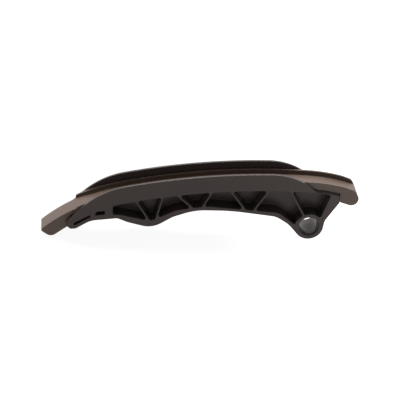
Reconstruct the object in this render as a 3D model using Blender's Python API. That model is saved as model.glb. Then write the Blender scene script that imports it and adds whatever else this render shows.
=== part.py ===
"""Timing chain guide: a nylon carrier with a sliding shoe snapped onto it.

The guide stands as it would on a bench: the chain side is up, the pivot boss is towards +X, the
symmetry plane is y = 0, and z = 0 is the surface that the shoe's tip and the boss rest on. Sizes are in
millimetres and become metres where the meshes are made. Everything on the chain side is offset from one
sliding line, and each side outline is a list of corners (x, z, blend radius).
"""

from math import acos, atan2, ceil, cos, hypot, pi, radians, sin, tan

import bmesh
import bpy

MM = 0.001

# Sliding line: three tangent arcs that the chain runs along.
CROWN_X = 37.8
CROWN_Z = 37.5
MIDDLE_RADIUS = 400.0
TIP_ARC_RADIUS = 100.0
PIVOT_ARC_RADIUS = 105.0
TIP_ARC_START_X = -50.2
PIVOT_ARC_START_X = 65.8

# Shoe: a thin base with two lips, a thick tip and a hooked nose. Cutters reach past what they cut by FREE.
SHOE_WIDTH = 15.6
SHOE_BASE = 2.1
LIP_HEIGHT = 2.6
LIP_THICKNESS = 1.4
LIP_FOOT_RADIUS = 0.5
LIP_START_X = -77.2
LIP_RAMP = 3.4
LIP_END = (93.6, 33.0, 3.5)
LIP_END_ANGLE = 30.0
LIP_END_RUN = 6.5
LIP_START_BLEND = 1.5
TIP_WIDTH = 11.1
TIP_END_X = -96.95
TIP_FOOT = (-90.65, -0.83, 4.2)
TIP_EDGE_RADIUS = 1.3
TIP_UNDERSIDE_SLOPE = 36.9
TIP_SHOULDER_RADIUS = 2.2
TONGUE_REACH = 11.95
TONGUE_END_X = TIP_FOOT[0] + TONGUE_REACH
NOSE_X = 91.8
NOSE_Z = 27.35
NOSE_RADIUS = 4.4
HOOK_X = 84.45
HOOK_Z = 25.4
HOOK_ANGLE = -100.0
EDGE_ROUND = 0.35
FREE = 20.0

# Carrier: flanges, deck, web, chord and boss.
CLEARANCE = 0.3
CARRIER_WIDTH = 19.0
FLANGE_HEIGHT = 7.5
DECK_THICKNESS = 1.4
WEB_THICKNESS = 1.8
FLANGE_TIP_X = -45.75
FLANGE_TIP_RADIUS = 50.0
FLANGE_PIVOT_X = 40.8
FLANGE_PIVOT_RADIUS = 40.0
BOSS_X = 66.9
BOSS_Z = 8.9
BOSS_RADIUS = 8.9
BORE_RADIUS = 5.9
BORE_CHAMFER = 1.0
RIB_THICKNESS = 1.3
POCKET_CORNER_RADIUS = 1.1
POCKET_MOUTH_CHAMFER = 0.25
POCKET_FLOOR_RADIUS = 0.5
POCKET_DRAFT = 0.15
FACET = 2.4

# Corners of the carrier's outline, from the flange's tip end down and round to the pivot end.
TIP_CHEEK = [
    (-71.2, 22.7, 0.8), (-73.4, 20.9, 2.0), (-81.6, 11.0, 1.5), (-81.8, 9.4, 0.8), (-79.1, 7.0, 1.4),
]
UNDERSIDE = [
    (-75.8, 7.2, 2.5), (-67.0, 12.8, 14.0), (-50.9, 14.5, 4.0), (-44.5, 11.7, 8.0), (-29.7, 7.6, 14.0),
    (-17.2, 15.55, 14.0), (-3.8, 20.35, 40.0), (18.0, 19.9, 120.0), (46.0, 15.8, 12.0), (54.0, 10.4, 20.0),
]
CARRIER_END_X = HOOK_X - CLEARANCE
PIVOT_STRUT = [(76.3, 12.9, 7.0), (CARRIER_END_X, 25.7, 0.8)]
BOSS_LEAVES_CHORD = 215.0
BOSS_MEETS_STRUT = -5.0
BOSS_INSIDE = (168, 30)

# Corners of the pockets' floor, above the chord, and of the two small recesses at the tip end.
CHORD_TOP = [
    (-53.75, 17.0, 0.0), (-49.2, 17.0, 5.0), (-30.8, 12.4, 9.0), (-15.7, 20.2, 12.0), (2.8, 23.1, 30.0),
    (47.3, 18.7, 9.0), (56.9, 10.9, 0.0),
]
NOTCH_POCKET = [(-65.4, 16.2, 0.8), (-63.9, 19.4, 0.9), (-58.45, 19.8, 0.6), (-58.45, 16.9, 0.6)]
SLOT_POCKET = [(-76.9, 9.7, 0.45), (-76.9, 10.9, 0.45), (-67.0, 17.2, 0.45), (-67.0, 16.1, 0.45)]
SLOT_DEPTH = 5.0

# Middle line of each rib, (x, z) at foot and head, between the first pocket's end wall and the strut.
FIRST_WALL_X = -53.75
RIBS = [
    ((-31.9, 13.3), (-39.8, 26.0)),
    ((-27.0, 15.5), (-24.1, 28.1)),
    ((-7.3, 23.3), (-14.3, 29.6)),
    ((1.6, 24.7), (4.9, 31.0)),
    ((23.9, 24.1), (18.2, 31.8)),
    ((33.1, 22.0), (38.7, 31.5)),
    ((61.5, 19.2), (55.6, 29.8)),
]
STRUT_FOOT = (73.75, 15.7)
STRUT_HEAD = (78.45, 30.6)


def lerp(a, b, t):
    """Returns the value that lies the share t of the way from a to b."""
    return a + (b - a) * t


def polar(centre, radius, angle):
    """The point that lies at a radius and an angle in degrees from a centre."""
    return (centre[0] + radius * cos(radians(angle)), centre[1] + radius * sin(radians(angle)))


def arc_points(centre, radius, start, end):
    """Points on an arc, both ends included, from one angle in degrees to another."""
    steps = max(2, ceil(abs(radians(end - start)) * radius / FACET), ceil(abs(end - start) / 24))
    return [polar(centre, radius, lerp(start, end, i / steps)) for i in range(steps + 1)]


def blended(corners, closed=True):
    """Turns corners (x, z, radius) into points, with an arc of that radius at each corner."""
    count = len(corners)
    points = []
    for i, (x, z, radius) in enumerate(corners):
        if radius <= 0 or (not closed and i in (0, count - 1)):
            points.append((x, z))
            continue
        before = corners[i - 1]
        after = corners[(i + 1) % count]
        inward = (before[0] - x, before[1] - z)
        outward = (after[0] - x, after[1] - z)
        a = hypot(*inward)
        b = hypot(*outward)
        inward = (inward[0] / a, inward[1] / a)
        outward = (outward[0] / b, outward[1] / b)
        opening = acos(max(-1.0, min(1.0, inward[0] * outward[0] + inward[1] * outward[1])))
        reach = min(radius / tan(opening / 2), 0.48 * a, 0.48 * b)
        bend = reach * tan(opening / 2)
        middle = (inward[0] + outward[0], inward[1] + outward[1])
        length = hypot(*middle)
        away = bend / sin(opening / 2)
        centre = (x + middle[0] / length * away, z + middle[1] / length * away)
        first = atan2(z + inward[1] * reach - centre[1], x + inward[0] * reach - centre[0])
        last = atan2(z + outward[1] * reach - centre[1], x + outward[0] * reach - centre[0])
        turn = (last - first + pi) % (2 * pi) - pi
        points += arc_points(centre, bend, first * 180 / pi, (first + turn) * 180 / pi)
    return points


def arc_height(centre, radius, x):
    """Height of an arc's upper half at the given x."""
    return centre[1] + (radius ** 2 - (x - centre[0]) ** 2) ** 0.5


def end_arc_centre(start_x, radius):
    """Centre of an end arc of the sliding line, tangent to the middle arc at start_x."""
    middle = (CROWN_X, CROWN_Z - MIDDLE_RADIUS)
    slope = (start_x - CROWN_X) / MIDDLE_RADIUS
    start_z = arc_height(middle, MIDDLE_RADIUS, start_x)
    return (start_x - radius * slope, start_z - radius * (1 - slope ** 2) ** 0.5)


def sliding_point(x, offset=0.0):
    """A point of the sliding line above the given x, moved by offset along the line's upward normal."""
    centre = (CROWN_X, CROWN_Z - MIDDLE_RADIUS)
    radius = MIDDLE_RADIUS
    if x < TIP_ARC_START_X:
        radius = TIP_ARC_RADIUS
        centre = end_arc_centre(TIP_ARC_START_X, radius)
    elif x > PIVOT_ARC_START_X:
        radius = PIVOT_ARC_RADIUS
        centre = end_arc_centre(PIVOT_ARC_START_X, radius)
    slope = (x - centre[0]) / radius
    z = arc_height(centre, radius, x)
    return (x + offset * slope, z + offset * (1 - slope ** 2) ** 0.5)


def sliding_run(start, end, offset=0.0):
    """Points along the sliding line from one x to another, all moved by the same offset."""
    steps = max(1, ceil(abs(end - start) / FACET))
    return [sliding_point(lerp(start, end, i / steps), offset) for i in range(steps + 1)]


def inner_points(points, start, end):
    """The points of a left-to-right run between two x, clear of the rounded corners at both ends."""
    margin = 1.6 * POCKET_CORNER_RADIUS
    return [p for p in points if start + margin < p[0] < end - margin]


def moved_inward(outline, distance):
    """The closed outline with each point moved inward along its corner's bisector."""
    area = sum(a[0] * b[1] - b[0] * a[1] for a, b in zip(outline, outline[1:] + outline[:1]))
    side = 1.0 if area > 0 else -1.0
    result = []
    for i, (x, z) in enumerate(outline):
        before = outline[i - 1]
        after = outline[(i + 1) % len(outline)]
        a = hypot(x - before[0], z - before[1])
        b = hypot(after[0] - x, after[1] - z)
        normal_a = (-(z - before[1]) / a * side, (x - before[0]) / a * side)
        normal_b = (-(after[1] - z) / b * side, (after[0] - x) / b * side)
        scale = distance / max(0.35, 1 + normal_a[0] * normal_b[0] + normal_a[1] * normal_b[1])
        result.append((x + (normal_a[0] + normal_b[0]) * scale, z + (normal_a[1] + normal_b[1]) * scale))
    return result


def plastic(name, colour, roughness):
    """A plain material with the moulding's colour and gloss."""
    material = bpy.data.materials.new(name)
    material.use_nodes = True
    shader = material.node_tree.nodes["Principled BSDF"]
    shader.inputs["Base Color"].default_value = (*colour, 1.0)
    shader.inputs["Roughness"].default_value = roughness
    shader.inputs["Metallic"].default_value = 0.0
    material.diffuse_color = (*colour, 1.0)
    return material


def lofted(name, rings):
    """A closed solid through rings, each a side outline (x, z) at its own y, joined face to face."""
    mesh = bpy.data.meshes.new(name)
    shape = bmesh.new()
    loops = [[shape.verts.new((x * MM, y * MM, z * MM)) for x, z in outline] for y, outline in rings]
    shape.faces.new(loops[0])
    shape.faces.new(loops[-1])
    for lower, upper in zip(loops, loops[1:]):
        for i in range(len(lower)):
            j = (i + 1) % len(lower)
            shape.faces.new((lower[i], lower[j], upper[j], upper[i]))
    bmesh.ops.recalc_face_normals(shape, faces=shape.faces)
    shape.to_mesh(mesh)
    shape.free()
    part = bpy.data.objects.new(name, mesh)
    bpy.context.collection.objects.link(part)
    return part


def prism(name, outline, half_width, edge=0.0):
    """A side outline extruded to both sides of the symmetry plane, with its two rims chamfered by edge."""
    if edge <= 0:
        return lofted(name, [(-half_width, outline), (half_width, outline)])
    inner = moved_inward(outline, edge)
    wall = half_width - edge
    return lofted(name, [(-half_width, inner), (-wall, outline), (wall, outline), (half_width, inner)])


def joined(name, pieces):
    """One object from several separate shapes, which stay separate bodies."""
    mesh = bpy.data.meshes.new(name)
    shape = bmesh.new()
    for piece in pieces:
        shape.from_mesh(piece.data)
        bpy.data.objects.remove(piece)
    shape.to_mesh(mesh)
    shape.free()
    group = bpy.data.objects.new(name, mesh)
    bpy.context.collection.objects.link(group)
    return group


def cut(part, cutter):
    """Takes the cutter out of the part with a Boolean, and keeps the cutter as a hidden guide."""
    modifier = part.modifiers.new(cutter.name, "BOOLEAN")
    modifier.operation = "DIFFERENCE"
    modifier.solver = "EXACT"
    modifier.object = cutter
    cutter.hide_render = True
    cutter.display_type = "WIRE"


def finished(part, material):
    """Shades the part smooth apart from its true edges, and gives it its material."""
    part.data.materials.append(material)
    part.data.shade_smooth()
    part.data.set_sharp_from_angle(angle=radians(25))


def flange_top():
    """Top of the side flanges, from the tip end to where they sink below the shoe at the pivot end."""
    tip = sliding_point(FLANGE_TIP_X, FLANGE_HEIGHT)
    tip_slope = (FLANGE_TIP_X - CROWN_X) / MIDDLE_RADIUS
    tip_angle = 90 - atan2(tip_slope, (1 - tip_slope ** 2) ** 0.5) * 180 / pi
    tip_centre = polar(tip, -FLANGE_TIP_RADIUS, tip_angle)
    tip_end = acos((TIP_CHEEK[0][0] + 0.9 - tip_centre[0]) / FLANGE_TIP_RADIUS) * 180 / pi
    pivot = sliding_point(FLANGE_PIVOT_X, FLANGE_HEIGHT)
    pivot_centre = (pivot[0], pivot[1] - FLANGE_PIVOT_RADIUS)
    rail_x = FLANGE_PIVOT_X
    while arc_height(pivot_centre, FLANGE_PIVOT_RADIUS, rail_x) > sliding_point(rail_x, -SHOE_BASE)[1]:
        rail_x += 0.1
    pivot_end = acos((rail_x - pivot_centre[0]) / FLANGE_PIVOT_RADIUS) * 180 / pi
    run = arc_points(tip_centre, FLANGE_TIP_RADIUS, tip_end, tip_angle)[:-1]
    run += sliding_run(FLANGE_TIP_X, FLANGE_PIVOT_X, FLANGE_HEIGHT)
    run += arc_points(pivot_centre, FLANGE_PIVOT_RADIUS, 90, pivot_end)[1:]
    return run, rail_x


def carrier_outline():
    """Side outline of the whole carrier, from the flange's tip end clockwise."""
    top, rail_x = flange_top()
    end_x = PIVOT_STRUT[-1][0]
    rail = sliding_run(rail_x + 1.0, end_x - 0.3, -SHOE_BASE)
    boss = arc_points((BOSS_X, BOSS_Z), BOSS_RADIUS, BOSS_LEAVES_CHORD, BOSS_MEETS_STRUT + 360)
    strut = blended([(*boss[-1], 0.0), *PIVOT_STRUT, (*rail[-1], 0.0)], closed=False)[1:-1]
    lower = blended([(*top[0], 0.0), *TIP_CHEEK, *UNDERSIDE, (*boss[0], 0.0)], closed=False)[1:-1]
    return top + rail + strut[::-1] + boss[::-1] + lower[::-1]


def rib_sides(foot, head):
    """The left and right face of a rib, each as (foot, head), from its middle line."""
    length = hypot(head[0] - foot[0], head[1] - foot[1])
    shift = RIB_THICKNESS / 2 / length
    step = ((head[1] - foot[1]) * shift, -(head[0] - foot[0]) * shift)
    left = [(p[0] - step[0], p[1] - step[1]) for p in (foot, head)]
    right = [(p[0] + step[0], p[1] + step[1]) for p in (foot, head)]
    return left, right


def meeting(side, run):
    """Where a straight side, made as long as it needs, crosses a left-to-right run of points."""
    foot, head = side
    best = None
    for a, b in zip(run, run[1:]):
        across = (b[0] - a[0]) * (head[1] - foot[1]) - (b[1] - a[1]) * (head[0] - foot[0])
        if abs(across) < 1e-9:
            continue
        t = ((foot[0] - a[0]) * (head[1] - foot[1]) - (foot[1] - a[1]) * (head[0] - foot[0])) / across
        if -1e-6 <= t <= 1 + 1e-6:
            best = (lerp(a[0], b[0], t), lerp(a[1], b[1], t))
    return best


def pocket_outlines():
    """Side outline of each open pocket between the deck, the chord and the ribs, from the tip end on."""
    ceiling = sliding_run(FIRST_WALL_X - 6.0, PIVOT_STRUT[-1][0], -(SHOE_BASE + CLEARANCE + DECK_THICKNESS))
    chord = blended(CHORD_TOP, closed=False)
    ring = arc_points((BOSS_X, BOSS_Z), BOSS_RADIUS, *BOSS_INSIDE)
    floor = chord + [p for p in ring if p[0] > chord[-1][0] + 0.2]
    sides = [[(FIRST_WALL_X, 0.0), (FIRST_WALL_X, CROWN_Z)]]
    for foot, head in RIBS:
        sides += rib_sides(foot, head)
    sides.append([STRUT_FOOT, STRUT_HEAD])
    outlines = []
    for left, right in zip(sides[0::2], sides[1::2]):
        low_left = meeting(left, floor)
        low_right = meeting(right, floor)
        high_left = meeting(left, ceiling)
        high_right = meeting(right, ceiling)
        corners = [(*low_left, POCKET_CORNER_RADIUS)]
        corners += [(*p, 0.0) for p in inner_points(floor, low_left[0], low_right[0])]
        corners.append((*low_right, POCKET_CORNER_RADIUS))
        corners.append((*high_right, POCKET_CORNER_RADIUS))
        corners += [(*p, 0.0) for p in inner_points(ceiling, high_left[0], high_right[0])[::-1]]
        corners.append((*high_left, POCKET_CORNER_RADIUS))
        outlines.append(blended(corners))
    return outlines


def pocket_cutter(name, outline, depth_y, side):
    """A drafted cutter for one pocket on one side, with a chamfered mouth and a rounded floor."""
    face = CARRIER_WIDTH / 2
    rings = [
        (side * (face + 1.0), moved_inward(outline, -POCKET_MOUTH_CHAMFER)),
        (side * face, moved_inward(outline, -POCKET_MOUTH_CHAMFER)),
        (side * (face - POCKET_MOUTH_CHAMFER), outline),
        (side * (depth_y + POCKET_FLOOR_RADIUS), moved_inward(outline, POCKET_DRAFT)),
        (side * depth_y, moved_inward(outline, POCKET_DRAFT + POCKET_FLOOR_RADIUS * 0.6)),
    ]
    return lofted(name, rings)


def make_carrier(material):
    """The black moulding: its blank, then the shoe's channel, the tongue's mouth, bore and pockets."""
    half = CARRIER_WIDTH / 2
    carrier = prism("carrier", carrier_outline(), half, EDGE_ROUND)

    deck = sliding_run(TIP_CHEEK[3][0] - 8.0, PIVOT_STRUT[-1][0] + 8.0, -(SHOE_BASE + CLEARANCE))
    above = [(deck[-1][0], CROWN_Z + FREE), (deck[0][0], CROWN_Z + FREE)]
    cut(carrier, prism("shoe_channel", deck + above, SHOE_WIDTH / 2 + CLEARANCE))

    mouth = TONGUE_END_X + CLEARANCE
    tongue = [(TIP_END_X, -FREE), (mouth, -FREE), (mouth, CROWN_Z), (TIP_END_X, CROWN_Z)]
    cut(carrier, prism("tongue_mouth", tongue, TIP_WIDTH / 2 + CLEARANCE))

    steps = 48
    rim = [polar((BOSS_X, BOSS_Z), BORE_RADIUS + BORE_CHAMFER, 360 * i / steps) for i in range(steps)]
    wall = [polar((BOSS_X, BOSS_Z), BORE_RADIUS, 360 * i / steps) for i in range(steps)]
    rings = [(-half - 1.0, rim), (-half, rim), (-half + BORE_CHAMFER, wall)]
    rings += [(-y, ring) for y, ring in rings[::-1]]
    cut(carrier, lofted("pivot_bore", rings))

    web = WEB_THICKNESS / 2
    pockets = []
    for side in (-1, 1):
        for outline in pocket_outlines() + [blended(NOTCH_POCKET)]:
            pockets.append(pocket_cutter("pocket", outline, web, side))
        slot = blended(SLOT_POCKET)
        rings = [(side * (half + 1.0), slot), (side * (half - SLOT_DEPTH), slot)]
        pockets.append(lofted("slot", rings))
    cut(carrier, joined("pockets", pockets))
    finished(carrier, material)
    return carrier


def shoe_outline():
    """Side outline of the shoe with its lips, from the tip's end clockwise."""
    outline = [(*sliding_point(TIP_END_X), TIP_EDGE_RADIUS)]
    outline += [(*p, 0.0) for p in sliding_run(TIP_END_X + 2.5, LIP_START_X)]
    lips = sliding_run(LIP_START_X + LIP_RAMP, LIP_END[0] - LIP_END_RUN, LIP_HEIGHT)
    outline.append((*lips[0], LIP_START_BLEND))
    outline += [(*p, 0.0) for p in lips[1:]]
    outline.append(LIP_END)
    nose = arc_points((NOSE_X, NOSE_Z), NOSE_RADIUS, LIP_END_ANGLE, HOOK_ANGLE)
    outline += [(*p, 0.0) for p in nose]
    outline.append((HOOK_X, HOOK_Z, 0.6))
    base = sliding_run(HOOK_X, TONGUE_END_X, -SHOE_BASE)
    outline.append((HOOK_X, base[0][1], 0.3))
    outline += [(*p, 0.0) for p in base[1:-1]]
    outline.append((TONGUE_END_X, base[-1][1], 0.3))
    tongue_low = TIP_FOOT[1] + (TONGUE_END_X - TIP_FOOT[0]) * tan(radians(TIP_UNDERSIDE_SLOPE))
    outline.append((TONGUE_END_X, tongue_low, 0.8))
    outline.append(TIP_FOOT)
    return blended(outline)


def track_cutter():
    """The chain's track between the lips, with a small fillet along the foot of each lip."""
    half = SHOE_WIDTH / 2 - LIP_THICKNESS
    rings = []
    for y, rise in ((half, 1.0), (half - 0.3 * LIP_FOOT_RADIUS, 0.3), (half - LIP_FOOT_RADIUS, 0.0)):
        floor = sliding_run(LIP_START_X, NOSE_X + 6.0, rise * LIP_FOOT_RADIUS)
        top = [(NOSE_X + 6.0, CROWN_Z + FREE), (LIP_START_X, CROWN_Z + FREE)]
        rings.append((y, floor + top))
    mirrored = [(-y, outline) for y, outline in rings]
    return lofted("chain_track", mirrored + rings[::-1])


def tip_trims():
    """Upright cutters that narrow the tip on both sides, with a fillet where it widens to the base."""
    half = TIP_WIDTH / 2
    centre_y = half + TIP_SHOULDER_RADIUS
    start_x = TONGUE_END_X - 0.4
    plan = [(TIP_END_X - FREE, half)] + arc_points((start_x, centre_y), TIP_SHOULDER_RADIUS, -90, 0)
    plan += [(start_x + TIP_SHOULDER_RADIUS, SHOE_WIDTH), (TIP_END_X - FREE, SHOE_WIDTH)]
    trims = []
    for side in (-1, 1):
        trim = lofted("tip_trim", [(z, [(x, side * y) for x, y in plan]) for z in (-FREE, CROWN_Z + FREE)])
        trim.data.transform(((1, 0, 0, 0), (0, 0, 1, 0), (0, 1, 0, 0), (0, 0, 0, 1)))
        trim.data.flip_normals()
        trims.append(trim)
    return joined("tip_trims", trims)


def make_shoe(material):
    """The brown moulding: its blank, then the chain's track between the lips and the narrower tip."""
    shoe = prism("sliding_shoe", shoe_outline(), SHOE_WIDTH / 2, EDGE_ROUND)
    cut(shoe, track_cutter())
    cut(shoe, tip_trims())
    finished(shoe, material)
    return shoe


def main():
    """Clears the scene and builds the two mouldings."""
    for old in list(bpy.data.objects):
        bpy.data.objects.remove(old)
    make_carrier(plastic("black_nylon", (0.018, 0.017, 0.016), 0.5))
    make_shoe(plastic("brown_nylon", (0.085, 0.060, 0.045), 0.4))


main()
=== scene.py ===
"""Timing chain guide: the finely moulded carrier and shoe, their nylon finishes, and a plain pale studio.

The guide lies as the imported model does: the chain side is up, the pivot boss is towards +X, the symmetry
plane is y = 0 and the near side is towards -Y. The mouldings' sizes are in millimetres, and become metres
where a mesh is drawn. The studio's are in metres. Each moulding is made as its near half, and mirrored.
"""

import logging
from collections.abc import Callable
from dataclasses import dataclass, field
from enum import Enum
from math import acos, atan2, ceil, cos, degrees, hypot, pi, radians, sin, tan

import bmesh
import bpy
from mathutils import Matrix, Vector


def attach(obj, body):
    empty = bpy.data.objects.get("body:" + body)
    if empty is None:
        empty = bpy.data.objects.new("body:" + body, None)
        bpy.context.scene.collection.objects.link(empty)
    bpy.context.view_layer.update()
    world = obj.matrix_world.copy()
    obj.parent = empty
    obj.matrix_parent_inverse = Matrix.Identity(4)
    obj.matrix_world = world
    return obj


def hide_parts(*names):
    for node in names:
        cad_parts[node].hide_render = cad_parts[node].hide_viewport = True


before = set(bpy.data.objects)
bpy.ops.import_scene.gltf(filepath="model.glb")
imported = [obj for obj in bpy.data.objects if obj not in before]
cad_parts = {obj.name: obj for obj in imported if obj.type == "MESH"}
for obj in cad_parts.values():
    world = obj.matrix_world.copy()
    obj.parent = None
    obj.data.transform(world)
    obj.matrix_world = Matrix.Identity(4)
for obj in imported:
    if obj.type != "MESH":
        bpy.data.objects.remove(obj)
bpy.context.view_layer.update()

MM = 0.001
log = logging.getLogger("timing_chain_guide")

# A point is x and z, or x and y in a plan. A corner is x, z and the radius that it is blended by. A side is
# a straight wall's foot and head. A pair is any other two numbers that belong together.
Point = tuple[float, float]
Corner = tuple[float, float, float]
Side = tuple[Point, Point]
Pair = tuple[float, float]

# How finely a curve is drawn: the longest facet in millimetres, the widest turn between two facets in
# degrees, the fewest facets of an arc, and the bands of a bevel.
FACET = 0.8
WIDEST_TURN = 18.0
FEWEST_FACETS = 3
BEVEL_BANDS = 3

# Reach of the cutters in millimetres: how far they go past the face or plane that they start from and past
# the tip's end, and the z above, the z below and the y beside the whole guide.
PAST = 1.0
PAST_TIP = 10.0
CLEAR_ABOVE = 60.0
CLEAR_BELOW = -10.0
CLEAR_BESIDE = -20.0

# Distances in metres within which points are one, lie on the symmetry plane, or lie on a chosen edge.
MERGE_WITHIN = 2e-6
ON_PLANE = 1e-6
ON_EDGE = 1e-5

# Angles in degrees between two faces: above the first an edge may be bevelled, above the second it is sharp.
BEVEL_ABOVE = 50.0
SHARP_ABOVE = 32.0

# The values that a noise texture mostly stays between.
NOISE_LOW = 0.3
NOISE_HIGH = 0.7


def deselect_all() -> None:
    """Leaves edit mode and deselects every object, the CAD nodes among them."""
    if bpy.context.object and bpy.context.object.mode != "OBJECT":
        bpy.ops.object.mode_set(mode="OBJECT")
    bpy.ops.object.select_all(action="DESELECT")


def select_only(part: bpy.types.Object) -> None:
    """Makes one object the only selected one, and the active one.

    Args:
        part: The object.
    """
    deselect_all()
    part.select_set(True)
    bpy.context.view_layer.objects.active = part


def edit(part: bpy.types.Object, kind: str, action: str) -> None:
    """Opens one object in edit mode.

    Args:
        part: The object.
        kind: What is selected in it: VERT, EDGE or FACE.
        action: SELECT for all of them to start with, DESELECT for none.
    """
    select_only(part)
    bpy.ops.object.mode_set(mode="EDIT")
    bpy.ops.mesh.select_mode(type=kind)
    bpy.ops.mesh.select_all(action=action)


def apply_modifier(part: bpy.types.Object, kind: str, settings: dict[str, object]) -> None:
    """Adds a modifier to a part and applies it.

    Args:
        part: The object that gets the modifier.
        kind: Blender's name for the type of modifier.
        settings: The modifier's settings by name.
    """
    select_only(part)
    modifier = part.modifiers.new(kind.title(), kind)
    for name, value in settings.items():
        setattr(modifier, name, value)
    bpy.ops.object.modifier_apply(modifier=modifier.name)


def carve(part: bpy.types.Object, cutter: bpy.types.Object) -> None:
    """Cuts one solid out of another, and removes the cutter.

    Args:
        part: The moulding that is cut.
        cutter: The solid that leaves its shape in it.
    """
    apply_modifier(part, "BOOLEAN", {"operation": "DIFFERENCE", "solver": "EXACT", "object": cutter})
    bpy.data.objects.remove(cutter)


def lerp(a: float, b: float, share: float) -> float:
    """Returns the value that lies that share of the way from a to b."""
    return a + (b - a) * share


def arc_points(centre: Point, radius: float, start: float, end: float) -> list[Point]:
    """Points along an arc, both ends included.

    Args:
        centre: The arc's centre.
        radius: Its radius.
        start: The angle it starts at, in degrees.
        end: The angle it ends at, in degrees.

    Returns:
        The points, no further apart than a facet.
    """
    by_length = ceil(abs(radians(end - start)) * radius / FACET)
    steps = max(FEWEST_FACETS, by_length, ceil(abs(end - start) / WIDEST_TURN))
    angles = [radians(lerp(start, end, i / steps)) for i in range(steps + 1)]
    return [(centre[0] + radius * cos(a), centre[1] + radius * sin(a)) for a in angles]


def quarter_bands(count: int) -> list[Pair]:
    """Angles in radians that each band of a quarter round starts and ends at."""
    angles = [pi / 2 * i / count for i in range(count + 1)]
    return list(zip(angles, angles[1:]))


def blended(corners: list[Corner], closed: bool = True, share: float = 0.48) -> list[Point]:
    """Rounds the corners of an outline.

    Args:
        corners: Corners as x, z and the blend's radius. A radius of 0 keeps the point as it is.
        closed: Whether the last corner joins the first. An open run keeps its two ends.
        share: How much of an edge the blend at one of its ends may take up.

    Returns:
        The outline's points, with an arc at each blended corner.
    """
    count = len(corners)
    points: list[Point] = []
    for i, (x, z, radius) in enumerate(corners):
        if radius <= 0 or (not closed and i in (0, count - 1)):
            points.append((x, z))
            continue
        corner = Vector((x, z))
        inward = Vector(corners[i - 1][:2]) - corner
        outward = Vector(corners[(i + 1) % count][:2]) - corner
        opening = inward.angle(outward)
        reach = min(radius / tan(opening / 2), share * inward.length, share * outward.length)
        bend = reach * tan(opening / 2)
        middle = (inward.normalized() + outward.normalized()).normalized()
        centre = corner + middle * (bend / sin(opening / 2))
        first = corner + inward.normalized() * reach - centre
        last = corner + outward.normalized() * reach - centre
        start = atan2(first.y, first.x)
        turn = (atan2(last.y, last.x) - start + pi) % (2 * pi) - pi
        points += arc_points((centre.x, centre.y), bend, degrees(start), degrees(start + turn))
    return points


def moved_outward(outline: list[Point], distance: float, bluntness: float = 0.35) -> list[Point]:
    """Moves a closed outline outward, square to its edges.

    Args:
        outline: The closed outline.
        distance: How far each edge moves outward.
        bluntness: Keeps a sharp corner from running away. The higher it is, the less such a corner moves.

    Returns:
        The moved outline, with as many points.
    """
    count = len(outline)
    area = sum(a[0] * b[1] - b[0] * a[1] for a, b in zip(outline, outline[1:] + outline[:1]))
    side = -1.0 if area > 0 else 1.0
    moved = []
    for i, (x, z) in enumerate(outline):
        before = outline[i - 1]
        after = outline[(i + 1) % count]
        arriving = Vector((before[1] - z, x - before[0])).normalized()
        leaving = Vector((z - after[1], after[0] - x)).normalized()
        square = (arriving + leaving) / max(bluntness, 1 + arriving.dot(leaving))
        moved.append((x + square.x * side * distance, z + square.y * side * distance))
    return moved


def open_above(floor: list[Point]) -> list[Point]:
    """Closes a run of points into the side outline of a cutter that reaches above the whole guide."""
    return [*floor, (floor[-1][0], CLEAR_ABOVE), (floor[0][0], CLEAR_ABOVE)]


def crossing(side: Side, run: list[Point], slack: float = 1e-6) -> Point:
    """Where a straight side, made as long as it needs, crosses a run of points.

    Args:
        side: The foot and the head of the side.
        run: Points from left to right.
        slack: Share of a step that a crossing may lie past the step's ends.

    Returns:
        The crossing point, or the run's first point if there is none.
    """
    foot, head = side
    nearly_parallel = 1e-9
    found = run[0]
    for a, b in zip(run, run[1:]):
        across = (b[0] - a[0]) * (head[1] - foot[1]) - (b[1] - a[1]) * (head[0] - foot[0])
        if abs(across) < nearly_parallel:
            continue
        share = ((foot[0] - a[0]) * (head[1] - foot[1]) - (foot[1] - a[1]) * (head[0] - foot[0])) / across
        if -slack <= share <= 1 + slack:
            found = (lerp(a[0], b[0], share), lerp(a[1], b[1], share))
    return found


class Drawn(Enum):
    """The plane that an outline is drawn in."""

    SIDE = "side"
    PLAN = "plan"

    def place(self, point: Point, depth: float) -> Vector:
        """Turns an outline's point, at its depth, into a place in metres."""
        across, up = (depth, point[1]) if self is Drawn.SIDE else (point[1], depth)
        return Vector((point[0], across, up)) * MM


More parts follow.
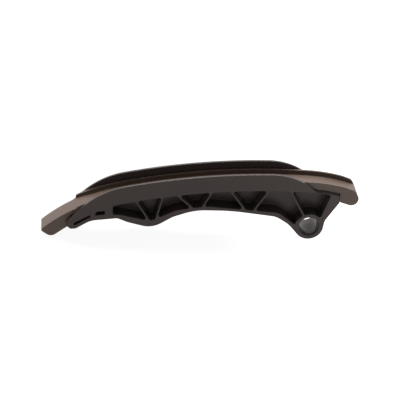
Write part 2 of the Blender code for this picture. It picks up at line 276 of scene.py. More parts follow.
class Blank:
    """A solid that starts as one vertex, and is drawn, pushed and inset in edit mode."""

    def __init__(self, name: str, outline: list[Point], depth: float, plane: Drawn = Drawn.SIDE) -> None:
        """Draws a closed outline edge by edge and fills it.

        Args:
            name: The object's name.
            outline: The outline's points, in millimetres.
            depth: Where the outline's plane lies along its normal.
            plane: The plane that the outline is drawn in.
        """
        self.plane = plane
        self.depth = depth
        self.heading = Vector()
        deselect_all()
        bpy.ops.mesh.primitive_plane_add(size=MM, location=(0, 0, 0))
        self.part = bpy.context.active_object
        self.part.name = name
        bpy.ops.object.mode_set(mode="EDIT")
        bpy.ops.mesh.select_mode(type="VERT")
        bpy.ops.mesh.select_all(action="SELECT")
        bpy.ops.mesh.merge(type="CENTER")
        places = [plane.place(point, depth) for point in outline]
        bpy.ops.transform.translate(value=places[0])
        for here, there in zip(places, places[1:]):
            bpy.ops.mesh.extrude_region_move(TRANSFORM_OT_translate={"value": there - here})
        bpy.ops.mesh.select_all(action="SELECT")
        bpy.ops.mesh.edge_face_add()

    def push(self, depth: float) -> "Blank":
        """Extrudes the front face until it lies at another depth.

        Args:
            depth: Where the front face ends up along the outline's normal.

        Returns:
            The blank itself, for the next step.
        """
        step = self.plane.place((0.0, 0.0), depth - self.depth)
        bpy.ops.mesh.extrude_region_move(TRANSFORM_OT_translate={"value": step})
        self.heading = step.normalized()
        self.depth = depth
        return self

    def inset(self, thickness: float, depth: float) -> "Blank":
        """Insets the front face and moves it on, which makes a sloping band round it.

        Args:
            thickness: How far the outline moves inward.
            depth: How far the face moves on in the direction it has been pushed in.

        Returns:
            The blank itself, for the next step.
        """
        mesh = bmesh.from_edit_mesh(self.part.data)
        face = next(f for f in mesh.faces if f.select)
        along_normal = MM if face.normal.dot(self.heading) > 0 else -MM
        bpy.ops.mesh.inset(thickness=thickness * MM, depth=depth * along_normal, use_even_offset=True)
        # The heading is a unit vector along one axis, so its parts add up to 1 or -1.
        self.depth += depth * sum(self.heading)
        return self

    def round_over(self, across: float, along: float, bands: int = 3) -> "Blank":
        """Rounds the rim of the front face, from its wall to its flat.

        Args:
            across: How far the round reaches in over the face.
            along: How far it reaches down the wall.
            bands: How many bands make the rim.

        Returns:
            The blank itself, for the next step.
        """
        for a, b in quarter_bands(bands):
            self.inset(across * (cos(a) - cos(b)), along * (sin(b) - sin(a)))
        return self

    def funnel_in(self, radius: float, bands: int = 3) -> "Blank":
        """Narrows the front face as the inside of a rounded mouth does, from its flat to its wall.

        Args:
            radius: The mouth's radius.
            bands: How many bands make the mouth.

        Returns:
            The blank itself, for the next step.
        """
        for a, b in quarter_bands(bands):
            self.inset(radius * (sin(b) - sin(a)), radius * (cos(a) - cos(b)))
        return self

    def solid(self) -> bpy.types.Object:
        """Closes the work in edit mode, with every face turned outward.

        Returns:
            The finished object.
        """
        bpy.ops.mesh.select_all(action="SELECT")
        bpy.ops.mesh.normals_make_consistent(inside=False)
        bpy.ops.object.mode_set(mode="OBJECT")
        return self.part


def mirrored_whole(part: bpy.types.Object) -> None:
    """Opens the near half along the symmetry plane and mirrors it into the whole moulding.

    Args:
        part: The near half.
    """
    edit(part, "FACE", "DESELECT")
    mesh = bmesh.from_edit_mesh(part.data)
    for face in mesh.faces:
        face.select_set(all(abs(v.co.y) < ON_PLANE for v in face.verts))
    bmesh.update_edit_mesh(part.data)
    bpy.ops.mesh.delete(type="FACE")
    bpy.ops.mesh.select_all(action="SELECT")
    bpy.ops.mesh.remove_doubles(threshold=MERGE_WITHIN)
    bpy.ops.object.mode_set(mode="OBJECT")
    apply_modifier(part, "MIRROR", {"use_axis": (False, True, False), "merge_threshold": MERGE_WITHIN})


def lies_beside(edge: bmesh.types.BMEdge, distance: float) -> bool:
    """Says whether an edge's ends both lie that many millimetres from the symmetry plane."""
    return all(abs(abs(v.co.y) - distance * MM) < ON_EDGE for v in edge.verts)


def soften(part: bpy.types.Object, width: float, chosen: Callable[[bmesh.types.BMEdge], bool]) -> int:
    """Bevels the sharp edges that a rule picks.

    Args:
        part: The moulding.
        width: The bevel's width.
        chosen: Says of an edge whether it is bevelled.

    Returns:
        How many edges were bevelled.
    """
    edit(part, "EDGE", "DESELECT")
    mesh = bmesh.from_edit_mesh(part.data)
    count = 0
    for edge in mesh.edges:
        if len(edge.link_faces) == 2 and edge.calc_face_angle() > radians(BEVEL_ABOVE) and chosen(edge):
            edge.select_set(True)
            count += 1
    bmesh.update_edit_mesh(part.data)
    if count:
        bpy.ops.mesh.bevel(
            offset=width * MM, segments=BEVEL_BANDS, affect="EDGES", clamp_overlap=False)
    bpy.ops.object.mode_set(mode="OBJECT")
    return count


def dress(part: bpy.types.Object, node: str, material: bpy.types.Material) -> None:
    """Cleans a finished moulding, gives it its finish, and lets it stand for its CAD node.

    Args:
        part: The finished moulding.
        node: The CAD node that it replaces.
        material: The finish.
    """
    edit(part, "VERT", "SELECT")
    bpy.ops.mesh.remove_doubles(threshold=MERGE_WITHIN)
    bpy.ops.mesh.normals_make_consistent(inside=False)
    bpy.ops.object.mode_set(mode="OBJECT")
    bpy.ops.object.shade_smooth_by_angle(angle=radians(SHARP_ABOVE))
    apply_modifier(part, "WEIGHTED_NORMAL", {"keep_sharp": True})
    part.data.materials.clear()
    part.data.materials.append(material)
    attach(part, "root")
    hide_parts(node)
    log.info("%s: %d faces, stands for %s", part.name, len(part.data.polygons), node)


@dataclass(frozen=True)
class SlidingLine:
    """The line that the chain runs along: three arcs that meet smoothly."""

    crown: Point = (37.8, 37.5)
    middle_radius: float = 400.0
    tip_radius: float = 100.0
    pivot_radius: float = 105.0
    tip_start: float = -50.2
    pivot_start: float = 65.8

    def middle_slope(self, x: float) -> float:
        """Sine of the middle arc's tilt at x."""
        return (x - self.crown[0]) / self.middle_radius

    def end_centre(self, start: float, radius: float) -> Point:
        """Centre of an end arc that leaves the middle arc smoothly.

        Args:
            start: The x that the end arc starts at.
            radius: Its radius.

        Returns:
            The centre's x and z.
        """
        slope = self.middle_slope(start)
        centre_z = self.crown[1] - self.middle_radius
        rise = (1 - slope ** 2) ** 0.5
        return (start - radius * slope, centre_z + (self.middle_radius - radius) * rise)

    def point(self, x: float, offset: float = 0.0) -> Point:
        """A point above or below the line.

        Args:
            x: Where on the line.
            offset: How far above the line, square to it.

        Returns:
            The point's x and z.
        """
        centre = (self.crown[0], self.crown[1] - self.middle_radius)
        radius = self.middle_radius
        if x < self.tip_start:
            radius = self.tip_radius
            centre = self.end_centre(self.tip_start, radius)
        elif x > self.pivot_start:
            radius = self.pivot_radius
            centre = self.end_centre(self.pivot_start, radius)
        slope = (x - centre[0]) / radius
        rise = (1 - slope ** 2) ** 0.5
        return (centre[0] + (radius + offset) * slope, centre[1] + (radius + offset) * rise)

    def run(self, start: float, end: float, offset: float = 0.0) -> list[Point]:
        """Points along the line.

        Args:
            start: The x that the run starts at.
            end: The x that it ends at.
            offset: How far above the line the run lies, square to it.

        Returns:
            The points, a facet apart at most.
        """
        steps = max(1, ceil(abs(end - start) / FACET))
        return [self.point(lerp(start, end, i / steps), offset) for i in range(steps + 1)]


@dataclass
class Shoe:
    """The brown moulding that the chain slides on: a thin base, two lips, a thick tip and a hooked nose.

    lip_start, rise_start, rise_end, tip_end and tongue_end are places along x. Room is what the outline's
    points leave free for a corner's blend.
    """

    line: SlidingLine = field(default_factory=SlidingLine)
    width: float = 15.6
    base: float = 2.1
    base_corner: float = 0.3
    rim: float = 0.15

    lip_height: float = 2.6
    lip_thickness: float = 1.4
    lip_foot: float = 0.25
    lip_edge: float = 0.15
    lip_start: float = -76.8
    lip_ramp: float = 2.8
    lip_start_corner: float = 1.5
    lip_end: Corner = (93.6, 33.0, 3.5)
    lip_end_room: float = 6.5
    lip_end_angle: float = 30.0

    # The track's floor rises above the sliding line towards the tip, and its cutter reaches past the nose.
    rise: float = 1.1
    rise_start: float = -64.0
    rise_end: float = -75.0
    track_past_nose: float = 6.0

    # The tip's shoulder is the x that it ends at, and its radius.
    tip_width: float = 12.6
    tip_end: float = -96.55
    tip_foot: Corner = (-90.65, -0.83, 4.2)
    tip_rim: float = 1.3
    tip_rim_room: float = 2.5
    tip_edge: float = 0.6
    tip_slope: float = 36.9
    tip_shoulder: Pair = (-75.6, 0.5)
    tongue_end: float = -78.7
    tongue_corner: float = 0.8

    nose: Point = (91.8, 27.35)
    nose_radius: float = 4.4
    hook: Corner = (84.25, 25.4, 0.6)
    hook_angle: float = -100.0

    def track_floor(self, start: float, end: float) -> list[Point]:
        """Points along the track's floor, which rises a little above the line towards the tip.

        Args:
            start: The x that the run starts at.
            end: The x that it ends at.

        Returns:
            The points, a facet apart at most.
        """
        steps = ceil(abs(end - start) / FACET)
        points = []
        for i in range(steps + 1):
            x = lerp(start, end, i / steps)
            share = min(1.0, max(0.0, (x - self.rise_start) / (self.rise_end - self.rise_start)))
            points.append(self.line.point(x, self.rise * share * share * (3 - 2 * share)))
        return points

    def outline(self) -> list[Point]:
        """Side outline of the shoe with its lips.

        Returns:
            The points, from the tip's end clockwise.
        """
        top = self.track_floor(self.tip_end, self.lip_start)
        outline: list[Corner] = [(*top[0], self.tip_rim)]
        outline += [(*p, 0.0) for p in top if p[0] > top[0][0] + self.tip_rim_room]
        lips_end = self.lip_end[0] - self.lip_end_room
        lips = self.line.run(self.lip_start + self.lip_ramp, lips_end, self.lip_height)
        outline.append((*lips[0], self.lip_start_corner))
        outline += [(*p, 0.0) for p in lips[1:]]
        outline.append(self.lip_end)
        nose = arc_points(self.nose, self.nose_radius, self.lip_end_angle, self.hook_angle)
        outline += [(*p, 0.0) for p in nose]
        outline.append(self.hook)
        below = self.line.run(self.hook[0], self.tongue_end, -self.base)
        outline.append((self.hook[0], below[0][1], self.base_corner))
        outline += [(*p, 0.0) for p in below[1:-1]]
        outline.append((self.tongue_end, below[-1][1], self.base_corner))
        reach = (self.tongue_end - self.tip_foot[0]) * tan(radians(self.tip_slope))
        outline.append((self.tongue_end, self.tip_foot[1] + reach, self.tongue_corner))
        outline.append(self.tip_foot)
        return blended(outline)

    def track(self) -> bpy.types.Object:
        """Cutter for the chain's track, with a fillet along the foot of the lip.

        Returns:
            The cutter.
        """
        half = self.width / 2 - self.lip_thickness
        floor = self.track_floor(self.lip_start, self.nose[0] + self.track_past_nose)
        cutter = Blank("track", open_above(floor), PAST).push(-(half - self.lip_foot))
        return cutter.round_over(self.lip_foot, self.lip_foot).solid()

    def tip_trim(self) -> bpy.types.Object:
        """Upright cutter that narrows the tip, with a fillet where it widens to the base.

        Returns:
            The cutter.
        """
        half = self.tip_width / 2
        shoulder, radius = self.tip_shoulder
        curve = arc_points((shoulder - radius, -half - radius), radius, 90, 0)
        end = self.tip_end - PAST_TIP
        plan = [(end, -half), *curve, (curve[-1][0], CLEAR_BESIDE), (end, CLEAR_BESIDE)]
        return Blank("tip_trim", plan, CLEAR_BELOW, Drawn.PLAN).push(CLEAR_ABOVE).solid()

    def on_tip_edge(self, edge: bmesh.types.BMEdge) -> bool:
        """Says whether an edge runs along the narrow tip's side, before the shoulder."""
        end = (self.tip_shoulder[0] - self.tip_shoulder[1]) * MM + ON_EDGE
        return lies_beside(edge, self.tip_width / 2) and all(v.co.x < end for v in edge.verts)

    def on_lip_edge(self, edge: bmesh.types.BMEdge) -> bool:
        """Says whether an edge runs along the inner top edge of a lip."""
        return lies_beside(edge, self.width / 2 - self.lip_thickness)

    def build(self) -> bpy.types.Object:
        """Models the shoe.

        Returns:
            The finished moulding.
        """
        shoe = Blank("slipper_shoe", self.outline(), 0.0).push(-self.width / 2 + self.rim)
        shoe = shoe.round_over(self.rim, self.rim).solid()
        carve(shoe, self.track())
        carve(shoe, self.tip_trim())
        mirrored_whole(shoe)
        tip_edges = soften(shoe, self.tip_edge, self.on_tip_edge)
        lip_edges = soften(shoe, self.lip_edge, self.on_lip_edge)
        log.info("bevelled edges of the shoe: %d at the tip, %d along the lips", tip_edges, lip_edges)
        return shoe


@dataclass
class Carrier:
    """The black moulding: flanges, deck, web, chord, ribs and the pivot boss."""

    shoe: Shoe
    clearance: float = 0.12
    width: float = 19.0
    deck: float = 1.4
    web: float = 1.8
    rim: float = 0.2

    # The flanges' top follows the sliding line between two x, and falls away from it in an arc at each end.
    flange_height: float = 7.5
    flange_edge: float = 0.2
    flange_tip: float = -44.5
    flange_tip_radius: float = 50.0
    flange_pivot: float = 40.8
    flange_pivot_radius: float = 40.0
    flange_pivot_end_angle: float = 20.0

    # Gaps along x that keep neighbouring points of the outline apart.
    cheek_gap: float = 0.9
    sunk_gap: float = 0.1
    rail_gap: float = 0.6
    strut_gap: float = 0.3
    boss_gap: float = 0.2

    # The boss leaves the chord at the first angle, and meets the strut at the second.
    boss: Point = (66.9, 8.9)
    boss_radius: float = 8.9
    boss_angles: Pair = (215.0, 355.0)
    boss_inside_angles: Pair = (168.0, 30.0)
    bore_radius: float = 5.9
    bore_rim: float = 1.3
    bore_bands: int = 5

    # A fillet is how far it reaches over the floor, and up the wall. The slope is how far across, and down.
    rib: float = 1.05
    pocket_corner: float = 1.25
    pocket_corner_room: float = 2.8
    pocket_corner_share: float = 0.9
    mouth: float = 0.3
    draft: float = 0.1
    floor_fillet: Pair = (0.8, 2.6)
    small_fillet: Pair = (0.2, 0.4)
    fillet_bands: int = 4
    slot_depth: float = 5.0
    rail_slope: Pair = (1.4, 1.1)
    rail_slope_gap: float = 0.5

    # Ends of the channel's floor and of the pockets' ceiling along x, the length and the top of the
    # tongue's mouth, and how far above the channel's floor an edge counts as the flange's.
    channel_ends: Pair = (-89.4, 92.0)
    ceiling_ends: Pair = (-60.0, 84.0)
    tongue_mouth_size: Pair = (20.0, 40.0)
    above_deck: float = 0.05

    cheek: tuple[Corner, ...] = (
        (-71.4, 22.7, 0.8), (-73.4, 20.85, 2.0), (-81.6, 11.0, 1.5), (-81.8, 9.4, 0.8), (-79.1, 7.0, 1.4),
    )
    underside: tuple[Corner, ...] = (
        (-75.8, 7.2, 2.5), (-67.0, 12.8, 14.0), (-50.9, 14.5, 4.0), (-44.5, 11.7, 8.0), (-29.7, 7.6, 14.0),
        (-17.2, 15.55, 14.0), (-3.8, 20.35, 40.0), (18.0, 19.9, 120.0), (46.0, 15.8, 12.0),
        (54.0, 10.4, 20.0),
    )
    strut: tuple[Corner, ...] = ((76.3, 12.9, 7.0), (84.15, 25.7, 0.8))
    chord: tuple[Corner, ...] = (
        (-53.75, 17.0, 0.0), (-49.2, 17.0, 5.0), (-30.8, 12.4, 9.0), (-15.7, 20.2, 12.0), (2.8, 23.1, 30.0),
        (47.3, 18.7, 9.0), (56.9, 10.9, 0.0),
    )
    notch: tuple[Corner, ...] = (
        (-65.2, 16.4, 0.7), (-63.2, 19.0, 0.9), (-58.45, 19.6, 0.6), (-58.45, 17.1, 0.6),
    )
    slot: tuple[Corner, ...] = (
        (-77.0, 9.2, 0.7), (-77.0, 11.1, 0.7), (-67.0, 16.8, 0.5), (-67.0, 15.3, 0.5),
    )
    first_wall: Side = ((-53.75, 10.0), (-53.75, 30.0))
    ribs: tuple[Side, ...] = (
        ((-31.9, 13.3), (-39.8, 26.0)),
        ((-27.0, 15.5), (-24.1, 28.1)),
        ((-7.3, 23.3), (-14.3, 29.6)),
        ((1.6, 24.7), (4.9, 31.0)),
        ((23.9, 24.1), (18.2, 31.8)),
        ((33.1, 22.0), (38.7, 31.5)),
        ((61.5, 19.2), (55.6, 29.8)),
    )
    strut_inside: Side = ((73.75, 15.7), (78.45, 30.6))

    def flange_top(self) -> tuple[list[Point], float]:
        """Top of the flanges.

        Returns:
            The points from the tip end to where the flanges sink below the shoe, and the x of that place.
        """
        line = self.shoe.line
        tip = line.point(self.flange_tip, self.flange_height)
        tip_angle = 90 - degrees(atan2(line.middle_slope(self.flange_tip), 1.0))
        turn = radians(tip_angle)
        radius = self.flange_tip_radius
        tip_centre = (tip[0] - radius * cos(turn), tip[1] - radius * sin(turn))
        tip_end = degrees(acos((self.cheek[0][0] + self.cheek_gap - tip_centre[0]) / radius))
        run = arc_points(tip_centre, radius, tip_end, tip_angle)[:-1]
        run += line.run(self.flange_tip, self.flange_pivot, self.flange_height)
        pivot = line.point(self.flange_pivot, self.flange_height)
        radius = self.flange_pivot_radius
        fall = arc_points((pivot[0], pivot[1] - radius), radius, 90, self.flange_pivot_end_angle)
        sunk = next(p[0] for p in fall if p[1] < line.point(p[0], -self.shoe.base)[1])
        run += [p for p in fall[1:] if p[0] < sunk - self.sunk_gap]
        return run, sunk

    def outline(self) -> list[Point]:
        """Side outline of the whole carrier.

        Returns:
            The points, from the flange's tip end clockwise.
        """
        top, sunk = self.flange_top()
        rail_end = self.strut[-1][0] - self.strut_gap
        rail = self.shoe.line.run(sunk + self.rail_gap, rail_end, -self.shoe.base)
        boss = arc_points(self.boss, self.boss_radius, *self.boss_angles)
        strut = blended([(*boss[-1], 0.0), *self.strut, (*rail[-1], 0.0)], closed=False)[1:-1]
        lower = [(*top[0], 0.0), *self.cheek, *self.underside, (*boss[0], 0.0)]
        return top + rail + strut[::-1] + boss[::-1] + blended(lower, closed=False)[1:-1][::-1]

    def rib_sides(self, foot: Point, head: Point) -> tuple[Side, Side]:
        """The two faces of a rib.

        Args:
            foot: The lower end of the rib's middle line.
            head: Its upper end.

        Returns:
            The left face and the right face.
        """
        shift = self.rib / 2 / hypot(head[0] - foot[0], head[1] - foot[1])
        step = ((head[1] - foot[1]) * shift, -(head[0] - foot[0]) * shift)
        left = ((foot[0] - step[0], foot[1] - step[1]), (head[0] - step[0], head[1] - step[1]))
        right = ((foot[0] + step[0], foot[1] + step[1]), (head[0] + step[0], head[1] + step[1]))
        return left, right

    def pocket_outlines(self) -> list[list[Point]]:
        """Side outlines of the open pockets between the deck, the chord and the ribs.

        Returns:
            One outline for each pocket, from the tip end on.
        """
        ceiling = self.shoe.line.run(*self.ceiling_ends, -(self.shoe.base + self.clearance + self.deck))
        chord = blended(list(self.chord), closed=False)
        ring = arc_points(self.boss, self.boss_radius, *self.boss_inside_angles)
        floor = chord + [p for p in ring if p[0] > chord[-1][0] + self.boss_gap]
        walls = [self.first_wall]
        for foot, head in self.ribs:
            walls += self.rib_sides(foot, head)
        walls.append(self.strut_inside)
        radius = self.pocket_corner
        margin = self.pocket_corner_room * radius
        outlines = []
        for left, right in zip(walls[0::2], walls[1::2]):
            low_left, low_right = crossing(left, floor), crossing(right, floor)
            high_left, high_right = crossing(left, ceiling), crossing(right, ceiling)
            corners = [(*low_left, radius)]
            corners += [(*p, 0.0) for p in floor if low_left[0] + margin < p[0] < low_right[0] - margin]
            corners += [(*low_right, radius), (*high_right, radius)]
            above = [p for p in ceiling if high_left[0] + margin < p[0] < high_right[0] - margin]
            corners += [(*p, 0.0) for p in above[::-1]]
            corners.append((*high_left, radius))
            outlines.append(blended(corners, share=self.pocket_corner_share))
        return outlines

    def pocket(self, outline: list[Point], depth: float, fillet: Pair) -> bpy.types.Object:
        """Cutter for a pocket, with a rounded mouth, a drafted wall and a fillet round its floor.

        Args:
            outline: The pocket's outline just inside its mouth.
            depth: How deep the pocket is from the side face.
            fillet: How far the fillet reaches over the floor, and up the wall.

        Returns:
            The cutter.
        """
        face = -self.width / 2
        cutter = Blank("pocket", moved_outward(outline, self.mouth), face - PAST).push(face)
        cutter.funnel_in(self.mouth)
        cutter.inset(self.draft, depth - self.mouth - fillet[1])
        return cutter.round_over(*fillet, self.fillet_bands).solid()

    def bore(self) -> bpy.types.Object:
        """Cutter for the pivot bore, with its rounded rim.

        Returns:
            The cutter.
        """
        face = -self.width / 2
        circle = arc_points(self.boss, self.bore_radius + self.bore_rim, 0, 360)[:-1]
        cutter = Blank("bore", circle, face - PAST).push(face)
        return cutter.funnel_in(self.bore_rim, self.bore_bands).push(PAST).solid()

    def channel(self) -> bpy.types.Object:
        """Cutter for the channel between the flanges, down to the deck that the shoe lies on.

        Returns:
            The cutter.
        """
        floor = self.shoe.line.run(*self.channel_ends, -(self.shoe.base + self.clearance))
        cutter = Blank("channel", open_above(floor), PAST)
        return cutter.push(-self.shoe.width / 2 - self.clearance).solid()

    def tongue_mouth(self) -> bpy.types.Object:
        """Cutter that lets the shoe's tip stand between the cheeks.

        Returns:
            The cutter.
        """
        length, top = self.tongue_mouth_size
        end = self.shoe.tongue_end + self.clearance
        block = [(end - length, CLEAR_BELOW), (end, CLEAR_BELOW), (end, top), (end - length, top)]
        cutter = Blank("tongue_mouth", block, PAST)
        return cutter.push(-self.shoe.tip_width / 2 - self.clearance).solid()

    def rail_trim(self) -> bpy.types.Object:
        """Cutter that slopes the carrier's outer edge off beside the shoe's pivot end.

        Returns:
            The cutter.
        """
        across, down = self.rail_slope
        face = -self.width / 2
        start = self.flange_top()[1] + self.rail_slope_gap
        below = self.shoe.line.run(start, self.channel_ends[1], -self.shoe.base - down)
        return Blank("rail_trim", open_above(below), face - PAST).push(face).inset(down, across).solid()

    def on_channel_edge(self, edge: bmesh.types.BMEdge) -> bool:
        """Says whether an edge runs along the inner top edge of a flange.

        Args:
            edge: The edge.

        Returns:
            Whether it does.
        """
        offset = -self.shoe.base - self.clearance + self.above_deck
        deck_heights = [self.shoe.line.point(v.co.x / MM, offset)[1] * MM for v in edge.verts]
        above = all(v.co.z > height for v, height in zip(edge.verts, deck_heights))
        return above and lies_beside(edge, self.shoe.width / 2 + self.clearance)

    def build(self) -> bpy.types.Object:
        """Models the carrier.

        Returns:
            The finished moulding.
        """
        half = self.width / 2
        carrier = Blank("ribbed_carrier", self.outline(), 0.0).push(-half + self.rim)
        carrier = carrier.round_over(self.rim, self.rim).solid()
        carve(carrier, self.channel())
        carve(carrier, self.tongue_mouth())
        carve(carrier, self.bore())
        carve(carrier, self.rail_trim())
        for outline in self.pocket_outlines():
            carve(carrier, self.pocket(outline, half - self.web / 2, self.floor_fillet))
        carve(carrier, self.pocket(blended(list(self.notch)), half - self.web / 2, self.small_fillet))
        carve(carrier, self.pocket(blended(list(self.slot)), self.slot_depth, self.small_fillet))
        mirrored_whole(carrier)
        flange_edges = soften(carrier, self.flange_edge, self.on_channel_edge)
        log.info("bevelled edges of the carrier: %d along the flanges", flange_edges)
        return carrier


def linear(colour: str) -> tuple[float, float, float, float]:
    """Turns an sRGB hex colour into the linear colour that a shader takes."""
    parts = [int(colour[i:i + 2], 16) / 255 for i in (1, 3, 5)]
    return (*[c / 12.92 if c <= 0.04045 else ((c + 0.055) / 1.055) ** 2.4 for c in parts], 1.0)


def per_metre(millimetres: float) -> float:
    """Scale of a pattern that repeats once in that many millimetres of the object."""
    return 1.0 / (millimetres * MM)


def add_node(
    tree: bpy.types.NodeTree, kind: str, settings: dict[str, object], inputs: dict[str | int, object]
) -> bpy.types.Node:
    """Adds a node to a node tree.

    Args:
        tree: The tree.
        kind: The node's type.
        settings: The node's own settings by name.
        inputs: For each input, by name or number, a value or the output that is linked to it.

    Returns:
        The new node.
    """
    node = tree.nodes.new(kind)
    for name, value in settings.items():
        setattr(node, name, value)
    for name, value in inputs.items():
        if isinstance(value, bpy.types.NodeSocket):
            tree.links.new(value, node.inputs[name])
        else:
            node.inputs[name].default_value = value
    return node


def new_material(name: str) -> tuple[bpy.types.Material, bpy.types.NodeTree, bpy.types.Node]:
    """Starts a node material.

    Args:
        name: The material's name.

    Returns:
        The material, its node tree and its main shader.
    """
    material = bpy.data.materials.new(name)
    material.use_nodes = True
    return material, material.node_tree, material.node_tree.nodes["Principled BSDF"]


@dataclass(frozen=True)
class GlassFilledNylon:
    """Black glass-filled nylon, moulded in a spark-eroded tool: satin, with fine grain and faint flow marks.

    roughness_spread is how far the roughness goes below and above its middle. bore_fade is how far outside
    the bore's wall its polish starts to fade, and ends.
    """

    bore: Point
    bore_radius: float
    bore_roughness: float = 0.2
    bore_fade: Pair = (0.2, 0.8)
    body: str = "#2b2625"
    bloom: str = "#322c2a"
    sheen: str = "#ffefec"
    roughness: float = 0.33
    roughness_spread: Pair = (0.05, 0.06)
    grain: float = 0.9
    grain_depth: float = 0.05
    flow: float = 14.0
    ior: float = 1.5
    specular: float = 0.28

    def material(self) -> bpy.types.Material:
        """Builds the finish.

        Returns:
            The material.
        """
        material, tree, shader = new_material("glass_filled_nylon")
        place = add_node(tree, "ShaderNodeTexCoord", {}, {}).outputs["Object"]
        # The melt's front leaves cloudy marks about a centimetre across, a touch greyer where fibres reach
        # the skin.
        clouds = add_node(tree, "ShaderNodeTexNoise", {}, {
            "Vector": place, "Scale": per_metre(self.flow), "Detail": 4.0, "Roughness": 0.6,
        })
        colour = add_node(tree, "ShaderNodeMix", {"data_type": "RGBA"}, {
            0: clouds.outputs[0], 6: linear(self.body), 7: linear(self.bloom),
        })
        tree.links.new(colour.outputs[2], shader.inputs["Base Color"])
        # The tool's spark grain is about 0.1 mm. It is drawn at 0.9 mm, so that it shows.
        grain = add_node(tree, "ShaderNodeTexNoise", {}, {
            "Vector": place, "Scale": per_metre(self.grain), "Detail": 3.0, "Roughness": 0.6,
        })
        smoother, rougher = self.roughness_spread
        gloss = add_node(tree, "ShaderNodeMapRange", {}, {
            "Value": grain.outputs[0], "From Min": NOISE_LOW, "From Max": NOISE_HIGH,
            "To Min": self.roughness - smoother, "To Max": self.roughness + rougher,
        })
        # The pivot bore is moulded on a polished core pin, so its wall is glossier than the rest.
        across = add_node(tree, "ShaderNodeVectorMath", {"operation": "MULTIPLY_ADD"}, {
            0: place, 1: (1.0, 0.0, 1.0), 2: (-self.bore[0] * MM, 0.0, -self.bore[1] * MM),
        })
        away = add_node(tree, "ShaderNodeVectorMath", {"operation": "LENGTH"}, {0: across.outputs[0]})
        fade_start, fade_end = self.bore_fade
        polish = add_node(tree, "ShaderNodeMapRange", {}, {
            "Value": away.outputs["Value"], "From Min": (self.bore_radius + fade_start) * MM,
            "From Max": (self.bore_radius + fade_end) * MM, "To Min": self.bore_roughness,
            "To Max": gloss.outputs[0],
        })
        tree.links.new(polish.outputs[0], shader.inputs["Roughness"])
        bump = add_node(tree, "ShaderNodeBump", {}, {
            "Strength": 0.25, "Distance": self.grain_depth * MM, "Height": grain.outputs[0],
        })
        tree.links.new(bump.outputs[0], shader.inputs["Normal"])
        shader.inputs["IOR"].default_value = self.ior
        shader.inputs["Specular IOR Level"].default_value = self.specular
        shader.inputs["Specular Tint"].default_value = linear(self.sheen)
        return material


@dataclass(frozen=True)
class SlidingNylon:
    """Brown unfilled nylon, moulded in a polished tool: smooth, with a soft gloss and long flow streaks.

    roughness_spread is how far the roughness goes below and above its middle.
    """

    body: str = "#483b35"
    streak: str = "#504239"
    roughness: float = 0.29
    roughness_spread: Pair = (0.04, 0.06)
    streak_length: float = 45.0
    streak_width: float = 3.0
    ripple: float = 6.0
    ripple_depth: float = 0.05
    ior: float = 1.5
    specular: float = 0.22

    def material(self) -> bpy.types.Material:
        """Builds the finish.

        Returns:
            The material.
        """
        material, tree, shader = new_material("sliding_nylon")
        place = add_node(tree, "ShaderNodeTexCoord", {}, {}).outputs["Object"]
        # The melt runs along the guide, and leaves faint streaks a few millimetres wide and many long.
        along, across = per_metre(self.streak_length), per_metre(self.streak_width)
        drawn = add_node(tree, "ShaderNodeMapping", {}, {"Vector": place, "Scale": (along, across, across)})
        streaks = add_node(tree, "ShaderNodeTexNoise", {}, {
            "Vector": drawn.outputs[0], "Scale": 1.0, "Detail": 3.0, "Roughness": 0.55,
        })
        colour = add_node(tree, "ShaderNodeMix", {"data_type": "RGBA"}, {
            0: streaks.outputs[0], 6: linear(self.body), 7: linear(self.streak),
        })
        tree.links.new(colour.outputs[2], shader.inputs["Base Color"])
        smoother, rougher = self.roughness_spread
        gloss = add_node(tree, "ShaderNodeMapRange", {}, {
            "Value": streaks.outputs[0], "From Min": NOISE_LOW, "From Max": NOISE_HIGH,
            "To Min": self.roughness - smoother, "To Max": self.roughness + rougher,
        })
        tree.links.new(gloss.outputs[0], shader.inputs["Roughness"])
        # The tool's polish isn't quite flat, so reflections waver over some millimetres.
        ripples = add_node(tree, "ShaderNodeTexNoise", {}, {
            "Vector": place, "Scale": per_metre(self.ripple), "Detail": 2.0, "Roughness": 0.5,
        })
        bump = add_node(tree, "ShaderNodeBump", {}, {
            "Strength": 0.2, "Distance": self.ripple_depth * MM, "Height": ripples.outputs[0],
        })
        tree.links.new(bump.outputs[0], shader.inputs["Normal"])
        shader.inputs["IOR"].default_value = self.ior
        shader.inputs["Specular IOR Level"].default_value = self.specular
        return material


@dataclass(frozen=True)
class StudioPaper:
    """Matte white paper of the studio's floor, lit from below so that shadows stay faint.

    Most of its white is the glow's, so body is a dark grey. The glow grows from the middle of the guide to
    glow_end, which is in metres towards the pivot end.
    """

    body: str = "#454545"
    roughness: float = 0.9
    glow: float = 0.93
    glow_pivot_end: float = 1.4
    glow_end: float = 0.12

    def material(self) -> bpy.types.Material:
        """Builds the finish.

        Returns:
            The material.
        """
        material, tree, shader = new_material("studio_paper")
        place = add_node(tree, "ShaderNodeTexCoord", {}, {}).outputs["Object"]
        parts = add_node(tree, "ShaderNodeSeparateXYZ", {}, {0: place})
        # The light under the paper stands towards the pivot end, so the guide's side is lighter there.
        glow = add_node(tree, "ShaderNodeMapRange", {"interpolation_type": "SMOOTHSTEP"}, {
            "Value": parts.outputs["X"], "From Min": 0.0, "From Max": self.glow_end,
            "To Min": self.glow, "To Max": self.glow_pivot_end,
        })
        tree.links.new(glow.outputs[0], shader.inputs["Emission Strength"])
        shader.inputs["Base Color"].default_value = linear(self.body)
        shader.inputs["Roughness"].default_value = self.roughness
        shader.inputs["Specular IOR Level"].default_value = 0.0
        shader.inputs["Emission Color"].default_value = (1.0, 1.0, 1.0, 1.0)
        return material


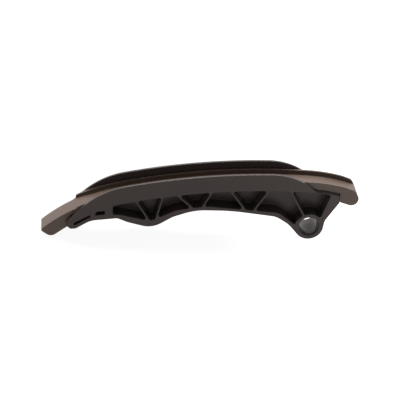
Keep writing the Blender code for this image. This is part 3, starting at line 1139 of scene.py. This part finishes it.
@dataclass
class Studio:
    """The pale floor, the soft light round it and the camera at the photograph's angle.

    Lengths are in metres, apart from the lens and the sensor, and angles in degrees. front, overhead and
    back are how bright the room is on the camera's side, above and behind the guide. blend_heights and
    blend_depths are the z and the y of a ray's direction between which one turns into the next.
    """

    floor_size: float = 12.0
    floor_gap: float = 0.0002
    down: float = 30.5
    aside: float = 7.0
    roll: float = 3.75
    distance: float = 0.915
    target: tuple[float, float, float] = (-0.00025, 0.0, 0.02197)
    lens: float = 135.0
    sensor: float = 36.0
    front: float = 0.85
    overhead: float = 0.35
    back: float = 1.3
    blend_heights: Pair = (0.0, 0.7)
    blend_depths: Pair = (-0.2, 0.8)
    softbox_place: tuple[float, float, float] = (0.1, 0.65, 1.4)
    softbox_size: Pair = (1.1, 0.7)
    softbox_power: float = 58.0

    def lay_floor(self) -> None:
        """Lays the floor just below the guide."""
        deselect_all()
        bpy.ops.mesh.primitive_plane_add(size=self.floor_size, location=(0.0, 0.0, -self.floor_gap))
        floor = bpy.context.active_object
        floor.name = "studio_floor"
        floor.data.materials.append(StudioPaper().material())

    def surround(self) -> None:
        """Surrounds the guide with a white room, brightest behind it and dimmest overhead."""
        world = bpy.data.worlds.new("studio")
        bpy.context.scene.world = world
        world.use_nodes = True
        tree = world.node_tree
        background = tree.nodes["Background"]
        way = add_node(tree, "ShaderNodeTexCoord", {}, {}).outputs["Generated"]
        parts = add_node(tree, "ShaderNodeSeparateXYZ", {}, {0: way})
        low, high = self.blend_heights
        upward = add_node(tree, "ShaderNodeMapRange", {"interpolation_type": "SMOOTHSTEP"}, {
            "Value": parts.outputs["Z"], "From Min": low, "From Max": high,
            "To Min": self.front, "To Max": self.overhead,
        })
        near, far = self.blend_depths
        across = add_node(tree, "ShaderNodeMapRange", {"interpolation_type": "SMOOTHSTEP"}, {
            "Value": parts.outputs["Y"], "From Min": near, "From Max": far,
            "To Min": upward.outputs[0], "To Max": self.back,
        })
        tree.links.new(across.outputs[0], background.inputs["Strength"])
        background.inputs["Color"].default_value = (1.0, 1.0, 1.0, 1.0)

    def hang_softbox(self) -> None:
        """Hangs a softbox above the guide and behind it, turned to its middle."""
        deselect_all()
        bpy.ops.object.light_add(type="AREA", location=self.softbox_place)
        lamp = bpy.context.active_object
        lamp.name = "softbox"
        lamp.data.shape = "RECTANGLE"
        lamp.data.size, lamp.data.size_y = self.softbox_size
        lamp.data.energy = self.softbox_power
        lamp.rotation_euler = (-Vector(self.softbox_place)).to_track_quat("-Z", "Y").to_euler()

    def place_camera(self) -> None:
        """Puts the camera where the photograph was taken from."""
        down = radians(self.down)
        aside = radians(self.aside)
        roll = radians(self.roll)
        ahead = Vector((sin(aside) * cos(down), cos(aside) * cos(down), -sin(down)))
        right = ahead.cross(Vector((0.0, 0.0, 1.0))).normalized()
        up = right.cross(ahead)
        turned_right = right * cos(roll) + up * sin(roll)
        turned_up = up * cos(roll) - right * sin(roll)
        deselect_all()
        bpy.ops.object.camera_add(location=Vector(self.target) - ahead * self.distance)
        camera = bpy.context.active_object
        camera.name = "photograph_camera"
        camera.rotation_euler = Matrix((turned_right, turned_up, -ahead)).transposed().to_euler()
        camera.data.lens = self.lens
        camera.data.sensor_width = self.sensor
        bpy.context.scene.camera = camera

    def build(self) -> None:
        """Sets up the whole studio."""
        self.place_camera()
        self.lay_floor()
        self.surround()
        self.hang_softbox()
        bpy.context.scene.view_settings.view_transform = "Standard"
        bpy.context.scene.view_settings.look = "None"


def main() -> None:
    """Builds the studio, then the two mouldings with their finishes."""
    logging.basicConfig(level=logging.INFO, format="%(name)s: %(message)s")
    Studio().build()
    shoe = Shoe()
    dress(shoe.build(), "sliding_shoe", SlidingNylon().material())
    carrier = Carrier(shoe)
    black_nylon = GlassFilledNylon(carrier.boss, carrier.bore_radius)
    dress(carrier.build(), "carrier", black_nylon.material())


if __name__ == "__main__":
    main()
